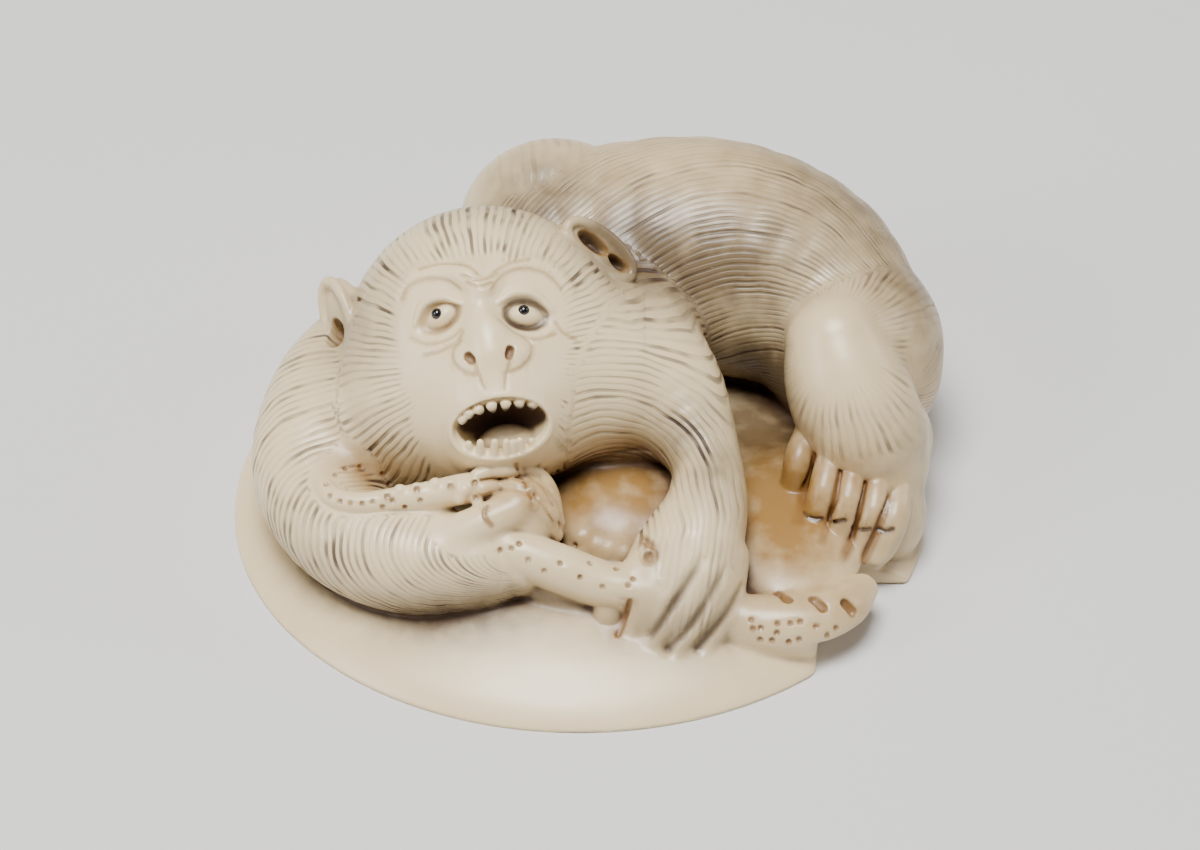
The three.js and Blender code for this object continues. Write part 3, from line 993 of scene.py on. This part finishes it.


# ---- Stain that the years have left, and painted shadow: where each lies, how far it reaches and how strong it is ----

AMBER_PLACES = (
    ((13, -4, 4), (4.5, 8, 4), 0.8),
    ((2.4, -4.6, 5), (5.5, 5, 3), 0.75),
    ((-13, -5.5, 8.2), (2.6, 2.4, 1.6), 0.5),
    ((-9.6, -3.6, 8.4), (4, 2.4, 2), 0.45),
    ((-2.6, -8.6, 9), (3.4, 2.6, 2.2), 0.5),
    ((14, -12, 3), (6, 3, 2.4), 0.45),
    ((9, 13, 15), (11, 8, 5), 0.3),
    ((20, 8, 8), (5, 7, 7), 0.42),
    ((16.6, -4.6, 4.5), (4, 4, 4), 0.6),
    ((2, -12, 2.6), (4, 3, 2), 0.4),
)
# Brown patches: partly rubbed-in stain, partly painted shadow under the body and below the cheek.
BROWN_STAIN_AND_SHADOW_PLACES = (
    ((3.6, 7.4, 15.6), (4.6, 3.6, 4), 0.95),
    ((8.5, 8, 13), (6, 4, 4.5), 0.85),
    ((12, 8, 9), (5, 4, 6), 0.9),
    ((-4, 11, 16.6), (6, 4, 3.5), 0.75),
    ((6.6, -2.6, 8), (2.6, 3.2, 3), 0.75),
    ((8.4, -6, 9), (2, 3.4, 3), 0.5),
    ((-12.6, 2, 12), (3.6, 3.6, 4), 0.6),
    ((-11, -2, 8), (3.6, 3, 3.4), 0.6),
    ((-13, -8, 3.4), (6, 5, 2.6), 0.55),
    ((6, -13.4, 3), (4, 3, 2.6), 0.55),
    ((21, -1, 3), (4, 6, 4), 0.4),
    ((16, 12, 13), (7, 6, 5), 0.6),
    ((20.5, 7, 11), (4, 5, 5), 0.55),
    ((12, 3.5, 6), (4, 4.5, 5), 1.0),
    ((-8, -13, 3.4), (6, 2.4, 2.2), 0.8),
    ((1, -1.5, 7.2), (5, 2.4, 2.6), 0.7),
    ((19, -1.6, 7.6), (5, 2.4, 2.4), 0.45),
)


def stain_and_shadow_of(places, points):
    """How strongly the places together colour each point: amber stain, and brown that is partly stain and
    partly painted shadow.
    """
    total = np.zeros(len(points))
    for centre, reach, amount in places:
        gap = ((points - np.array(centre)) / np.array(reach)) ** 2
        total = np.maximum(total, amount * np.exp(-0.9 * gap.sum(axis=1)))
    return total


# ---- From clay to a piece ----


def mesh_from(points, faces, name):
    mesh = bpy.data.meshes.new(name)
    mesh.vertices.add(len(points))
    mesh.vertices.foreach_set("co", points.astype(np.float32).ravel())
    mesh.loops.add(faces.size)
    mesh.loops.foreach_set("vertex_index", faces.astype(np.int32).ravel())
    mesh.polygons.add(len(faces))
    mesh.polygons.foreach_set("loop_start", np.arange(0, faces.size, 4, dtype=np.int32))
    mesh.update(calc_edges=True)
    mesh.validate()
    return mesh


def point_normals(points, faces):
    """Each point's outward direction, from the faces round it."""
    a, b, c, d = (points[faces[:, i]] for i in range(4))
    face_normals = np.cross(c - a, d - b)
    totals = np.zeros_like(points)
    for i in range(4):
        for axis in range(3):
            totals[:, axis] += np.bincount(faces[:, i], face_normals[:, axis], len(points))
    return totals / np.maximum(np.linalg.norm(totals, axis=1, keepdims=True), 1e-12)


def outward(points, faces):
    """The faces, turned over if they point inwards."""
    a, b, c, d = (points[faces[:, i]] for i in range(4))
    volume = (np.cross(a, b) * c).sum() + (np.cross(a, c) * d).sum()
    return faces if volume > 0 else faces[:, ::-1]


def engraved(points, faces, sizes):
    """The points, moved in by the hair's cuts."""
    normals = point_normals(points, faces)
    phase, strength = hair_on(points, sizes)
    depth = sizes.hair_depth / MM * (0.45 + 0.55 * line_value(phase, 1))
    return points - normals * (groove(phase) * strength * depth)[:, None]


def put_values(mesh, name, values):
    attribute = mesh.attributes.new(name, "FLOAT", "POINT")
    attribute.data.foreach_set("value", values.astype(np.float32))


def mesh_points(mesh):
    found = np.empty(len(mesh.vertices) * 3, np.float32)
    mesh.vertices.foreach_get("co", found)
    return found.reshape(-1, 3).astype(np.float64)


def only(piece):
    """Leaves one piece selected and active."""
    bpy.ops.object.select_all(action="DESELECT")
    piece.select_set(True)
    bpy.context.view_layer.objects.active = piece


# ---- Shaders ----

STAINS = ("soft", "ink", "rust", "deep", "tongue")
STORED = ("hair", "hair_strength", "amber", "brown", "crease", "fine_crease", *STAINS)


class Value:
    """A socket that arithmetic can be written with."""

    def __init__(self, tree, socket):
        self.tree = tree
        self.socket = socket

    def math(self, operation, *others):
        return self.tree.node("ShaderNodeMath", {"operation": operation}, [self, *others])

    def __add__(self, other):
        return self.math("ADD", other)

    def __sub__(self, other):
        return self.math("SUBTRACT", other)

    def __rsub__(self, other):
        return (self * -1) + other

    def __mul__(self, other):
        return self.math("MULTIPLY", other)

    def __truediv__(self, other):
        return self.math("DIVIDE", other)

    __radd__ = __add__
    __rmul__ = __mul__

    def clip(self):
        return self.tree.node("ShaderNodeClamp", {}, [self])

    def step(self, low, high):
        """0 below low, 1 above high and a soft step between."""
        sockets = {"Value": self, "From Min": low, "From Max": high}
        return self.tree.node("ShaderNodeMapRange", {"interpolation_type": "SMOOTHSTEP"}, sockets)


class Tree:
    """A material and the nodes that are added to it."""

    def __init__(self, name, **constants):
        self.material = bpy.data.materials.new(name)
        self.material.use_nodes = True
        self.nodes = self.material.node_tree.nodes
        self.links = self.material.node_tree.links
        self.shader = self.nodes["Principled BSDF"]
        self.wear(**constants)

    def fill(self, node, sockets):
        pairs = sockets.items() if isinstance(sockets, dict) else enumerate(sockets)
        for key, value in pairs:
            if isinstance(value, Value):
                self.links.new(value.socket, node.inputs[key])
            else:
                node.inputs[key].default_value = value

    def node(self, kind, settings=None, sockets=(), output=0):
        node = self.nodes.new(kind)
        for key, value in (settings or {}).items():
            setattr(node, key, value)
        self.fill(node, sockets)
        return Value(self, node.outputs[output])

    def attribute(self, name):
        return self.node("ShaderNodeAttribute", {"attribute_name": name}, output="Fac")

    def noise(self, scale, detail):
        place = self.node("ShaderNodeTexCoord", output="Object")
        return self.node("ShaderNodeTexNoise", {}, {"Vector": place, "Scale": scale, "Detail": detail})

    def mix(self, factor, first, second):
        """A colour between two; sockets 6 and 7 take the colours and socket 2 gives the mix."""
        settings = {"data_type": "RGBA", "clamp_factor": True}
        return self.node("ShaderNodeMix", settings, {"Factor": factor, 6: first, 7: second}, 2)

    def wear(self, **sockets):
        """Links or sets the shader's own sockets."""
        self.fill(self.shader, {key.replace("_", " "): value for key, value in sockets.items()})
        return self.material


def ivory_material(colours):
    """Ivory that yellows with handling and darkens in its cuts and hollows; its brown patches are partly
    stain and partly painted shadow.
    """
    tree = Tree(
        "aged_ivory",
        Subsurface_Weight=0.15,
        Subsurface_Radius=(1.0, 0.7, 0.45),
        Subsurface_Scale=0.4 * MM,
        IOR=1.54,
    )
    phase, strength, amber, brown, crease, fine_crease, soft, ink, rust, deep, tongue = (
        tree.attribute(name) for name in STORED
    )
    cloud = tree.noise(240, 3)
    blotch = tree.noise(620, 3)
    grain = tree.noise(2600, 2)
    line = phase.math("ROUND")
    across = (phase - line).math("ABSOLUTE") * 2
    number = ((line * SHUFFLE[0] + 1).math("SINE") * SHUFFLE[1]).math("ABSOLUTE").math("FRACT")
    cut = (1 - across / (0.34 + number * 0.34)).clip().step(0.0, 0.5) * strength
    breaks = tree.noise(520, 1).step(0.36, 0.6)
    inked = cut * (0.3 + number * 0.7) * (0.3 + breaks * 0.7)
    worn = (amber * (0.7 + blotch * 1.8)).clip()
    colour = tree.mix((cloud * 0.5).clip(), colours.ivory, colours.cream)
    colour = tree.mix(worn, colour, colours.amber)
    # Brown patches, partly rubbed-in stain and partly painted shadow.
    colour = tree.mix((brown * (0.65 + blotch * 1.5)).clip() * 0.85, colour, colours.brown)
    # Hair lines, darker inside the brown patches, so partly painted shadow too.
    colour = tree.mix((inked * (0.85 + brown * 0.8 + amber * 0.4)).clip(), colour, colours.line)
    dirt = (fine_crease * 0.9 + crease * 0.8).clip() * (0.5 + blotch * 1.1)
    colour = tree.mix(dirt.clip(), colour, colours.dirt)
    colour = tree.mix(soft * (0.15 + blotch * 0.7), colour, colours.amber)
    colour = tree.mix(rust * (0.45 + blotch * 0.5), colour, colours.rust)
    colour = tree.mix(ink * 0.9, colour, colours.line)
    colour = tree.mix(deep * (1 - tongue * (0.3 + blotch * 0.5)), colour, colours.deep)
    rough = 0.27 + cut * 0.25 + dirt * 0.25 + blotch * 0.08 + deep * 0.3
    height = 1 - cut * (0.4 + number * 0.6) + grain * 0.06
    bump = tree.node("ShaderNodeBump", {}, {"Strength": 0.7, "Distance": 0.00007, "Height": height})
    return tree.wear(Base_Color=colour, Roughness=rough, Normal=bump)


def horn_material(colours):
    tree = Tree("horn", Roughness=0.12, IOR=1.55, Coat_Weight=0.6, Coat_Roughness=0.05)
    return tree.wear(Base_Color=colours.horn)


def floor_material(colours):
    return Tree("floor", Roughness=0.8).wear(Base_Color=colours.floor)


# ---- What a user would change ----


def length(name, description, default):
    return bpy.props.FloatProperty(
        name=name, description=description, default=default, unit="LENGTH", precision=5, min=0.0
    )


def colour(name, description, default):
    return bpy.props.FloatVectorProperty(
        name=name, description=description, default=(*default, 1.0), size=4, subtype="COLOR", min=0, max=1
    )


class NetsukeSizes(bpy.types.PropertyGroup):
    clay_step: length("Clay step", "Spacing of the field that the carving is worked in", 0.1 * MM)
    hair_pitch: length("Hair pitch", "Width of one hair line on the head", 0.46 * MM)
    hair_depth: length("Hair depth", "Depth of the deepest hair cuts", 0.075 * MM)
    pupil_radius: length("Pupil radius", "Radius of the inlaid pupils", PUPIL_RADIUS * MM)


class NetsukeColours(bpy.types.PropertyGroup):
    ivory: colour("Ivory", "Clean polished ivory", (0.92, 0.75, 0.46))
    cream: colour("Cream", "Ivory a little yellower", (0.84, 0.63, 0.33))
    amber: colour("Amber", "Ivory yellowed by handling", (0.34, 0.18, 0.045))
    # Brown: rubbed-in stain in part, painted shadow in part.
    brown: colour("Brown", "Rubbed-in brown stain", (0.095, 0.056, 0.024))
    line: colour("Hair line", "Stain in the hair cuts", (0.045, 0.02, 0.008))
    dirt: colour("Dirt", "Dirt in the creases", (0.085, 0.04, 0.015))
    rust: colour("Rust", "Orange-brown spots and gaps", (0.2, 0.08, 0.012))
    deep: colour("Deep", "Inside the mouth", (0.05, 0.02, 0.007))
    horn: colour("Horn", "Black horn of the pupils", (0.004, 0.004, 0.005))
    floor: colour("Floor", "Pale floor", (0.74, 0.73, 0.71))


# ---- Operators ----


MOST_TRIANGLES = 195000
PUPIL_SINK = 0.45  # how deep a bead's middle lies, as a share of its radius

# For each kind of crease, the radius in mm of the ball that is looked at, and the crowding it starts at.
CREASES = {"crease": (1.6, 0.56), "fine_crease": (0.5, 0.58)}
CREASED = 0.8  # the crowding from which a crease counts in full

# Each light's name, place, size and power.
LIGHTS = (
    ("soft_top", (-0.03, -0.06, 0.42), 0.20, 2.9),
    ("soft_left", (-0.36, -0.16, 0.24), 0.20, 0.7),
    ("soft_right", (0.38, 0.06, 0.20), 0.16, 0.3),
)
LIGHT_AIM = (0, 0, 0.008)
FLOOR_WIDTH = 3
STUDIO_COLOUR = (0.9, 0.92, 1, 1)
STUDIO_STRENGTH = 0.16


class NETSUKE_OT_carving(bpy.types.Operator):
    """Carve the monkey, the octopus arm and the mound from one piece of ivory"""

    bl_idname = "netsuke.carving"
    bl_label = "Carving"

    def execute(self, context):
        scene = context.scene
        sizes = scene.netsuke_sizes
        clay = worked_clay(sizes.clay_step / MM * (1))
        points, faces = clay.skin()
        faces = outward(points, faces)
        points = engraved(points, faces, sizes)
        mesh = mesh_from(points, faces, "netsuke_carving")
        piece = bpy.data.objects.new("netsuke_carving", mesh)
        scene.collection.objects.link(piece)
        only(piece)
        self.thin(piece)
        self.mark(clay, mesh, sizes)
        placed = (mesh_points(mesh) + SHIFT) * MM
        mesh.vertices.foreach_set("co", placed.astype(np.float32).ravel())
        mesh.update()
        bpy.ops.object.shade_smooth()
        mesh.materials.append(ivory_material(scene.netsuke_colours))
        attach(piece, "root")
        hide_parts("carving")
        return {"FINISHED"}

    def thin(self, piece):
        """Takes out points where the surface is nearly flat."""
        triangles = 2 * len(piece.data.polygons)
        if triangles > MOST_TRIANGLES:
            bpy.ops.object.modifier_add(type="DECIMATE")
            piece.modifiers[-1].ratio = MOST_TRIANGLES / triangles
            bpy.ops.object.modifier_apply(modifier=piece.modifiers[-1].name)

    def mark(self, clay, mesh, sizes):
        """Stores the hair, the stain and the painted shadow on the mesh's points."""
        points = mesh_points(mesh)
        phase, strength = hair_on(points, sizes)
        put_values(mesh, "hair", phase)
        put_values(mesh, "hair_strength", strength)
        put_values(mesh, "amber", stain_and_shadow_of(AMBER_PLACES, points))
        # The brown patches are partly painted shadow.
        put_values(mesh, "brown", stain_and_shadow_of(BROWN_STAIN_AND_SHADOW_PLACES, points))
        for name, (radius, start) in CREASES.items():
            put_values(mesh, name, ramp(clay.crowding(points, radius), start, CREASED))
        for stain in STAINS:
            put_values(mesh, stain, clay.stained(points, stain))


class NETSUKE_OT_pupils(bpy.types.Operator):
    """Set a polished black bead in each eye"""

    bl_idname = "netsuke.pupils"
    bl_label = "Pupils"

    def execute(self, context):
        scene = context.scene
        radius = scene.netsuke_sizes.pupil_radius
        material = horn_material(scene.netsuke_colours)
        carving = bpy.data.objects["netsuke_carving"]
        viewer = (EYE_PLACE + SHIFT) * MM
        for eye, side in zip(EYES, ("left", "right")):
            toward = (VIEW.point((*eye["pupil"], 0)) + SHIFT) * MM - viewer
            found, place, _, _ = carving.ray_cast(Vector(viewer), Vector(toward))
            if not found:
                raise RuntimeError("the " + side + " eye isn't where the pupil looks for it")
            middle = place + Vector(toward).normalized() * radius * PUPIL_SINK
            bpy.ops.object.select_all(action="DESELECT")
            bpy.ops.mesh.primitive_uv_sphere_add(
                segments=32, ring_count=16, radius=radius, location=middle
            )
            bead = context.object
            bead.name = "netsuke_pupil_" + side
            bpy.ops.object.transform_apply(location=True, rotation=True, scale=True)
            bpy.ops.object.shade_smooth()
            bead.data.materials.append(material)
            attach(bead, "root")
            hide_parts("pupil_" + side)
        return {"FINISHED"}


class NETSUKE_OT_stage(bpy.types.Operator):
    """Lay a pale floor and set up soft light and the camera"""

    bl_idname = "netsuke.stage"
    bl_label = "Stage"

    def execute(self, context):
        scene = context.scene
        bpy.ops.object.select_all(action="DESELECT")
        bpy.ops.mesh.primitive_plane_add(size=FLOOR_WIDTH, location=(0, 0, 0))
        floor = context.object
        floor.name = "floor"
        floor.data.materials.append(floor_material(scene.netsuke_colours))
        self.lights(context)
        self.camera(context)
        world = bpy.data.worlds.new("studio")
        world.use_nodes = True
        background = world.node_tree.nodes["Background"]
        background.inputs["Color"].default_value = STUDIO_COLOUR
        background.inputs["Strength"].default_value = STUDIO_STRENGTH
        scene.world = world
        return {"FINISHED"}

    def lights(self, context):
        for name, place, size, power in LIGHTS:
            turn = (Vector(LIGHT_AIM) - Vector(place)).to_track_quat("-Z", "Y").to_euler()
            bpy.ops.object.light_add(type="AREA", location=place, rotation=turn)
            light = context.object
            light.name = name
            light.data.size = size
            light.data.energy = power

    def camera(self, context):
        place = (EYE_PLACE + SHIFT) * MM
        bpy.ops.object.camera_add(location=place, rotation=(math.radians(90 - GAZE), 0, 0))
        camera = context.object
        camera.data.lens = LENS
        camera.data.sensor_width = SENSOR_WIDTH
        camera.data.dof.use_dof = False
        camera.data.clip_start = 0.01
        context.scene.camera = camera


class NETSUKE_PT_panel(bpy.types.Panel):
    bl_label = "Netsuke"
    bl_space_type = "VIEW_3D"
    bl_region_type = "UI"
    bl_category = "Netsuke"

    def draw(self, context):
        for group in (context.scene.netsuke_sizes, context.scene.netsuke_colours):
            for name in group.__annotations__:
                self.layout.prop(group, name)
        for operator in OPERATORS:
            self.layout.operator(operator.bl_idname)


GROUPS = (NetsukeSizes, NetsukeColours)
OPERATORS = (NETSUKE_OT_carving, NETSUKE_OT_pupils, NETSUKE_OT_stage)


def register():
    for kind in (*GROUPS, *OPERATORS, NETSUKE_PT_panel):
        bpy.utils.register_class(kind)
    bpy.types.Scene.netsuke_sizes = bpy.props.PointerProperty(type=NetsukeSizes)
    bpy.types.Scene.netsuke_colours = bpy.props.PointerProperty(type=NetsukeColours)


def unregister():
    del bpy.types.Scene.netsuke_colours
    del bpy.types.Scene.netsuke_sizes
    for kind in reversed((*GROUPS, *OPERATORS, NETSUKE_PT_panel)):
        bpy.utils.unregister_class(kind)


def main():
    register()
    bpy.ops.netsuke.carving()
    bpy.ops.netsuke.pupils()
    bpy.ops.netsuke.stage()


if __name__ == "__main__":
    main()
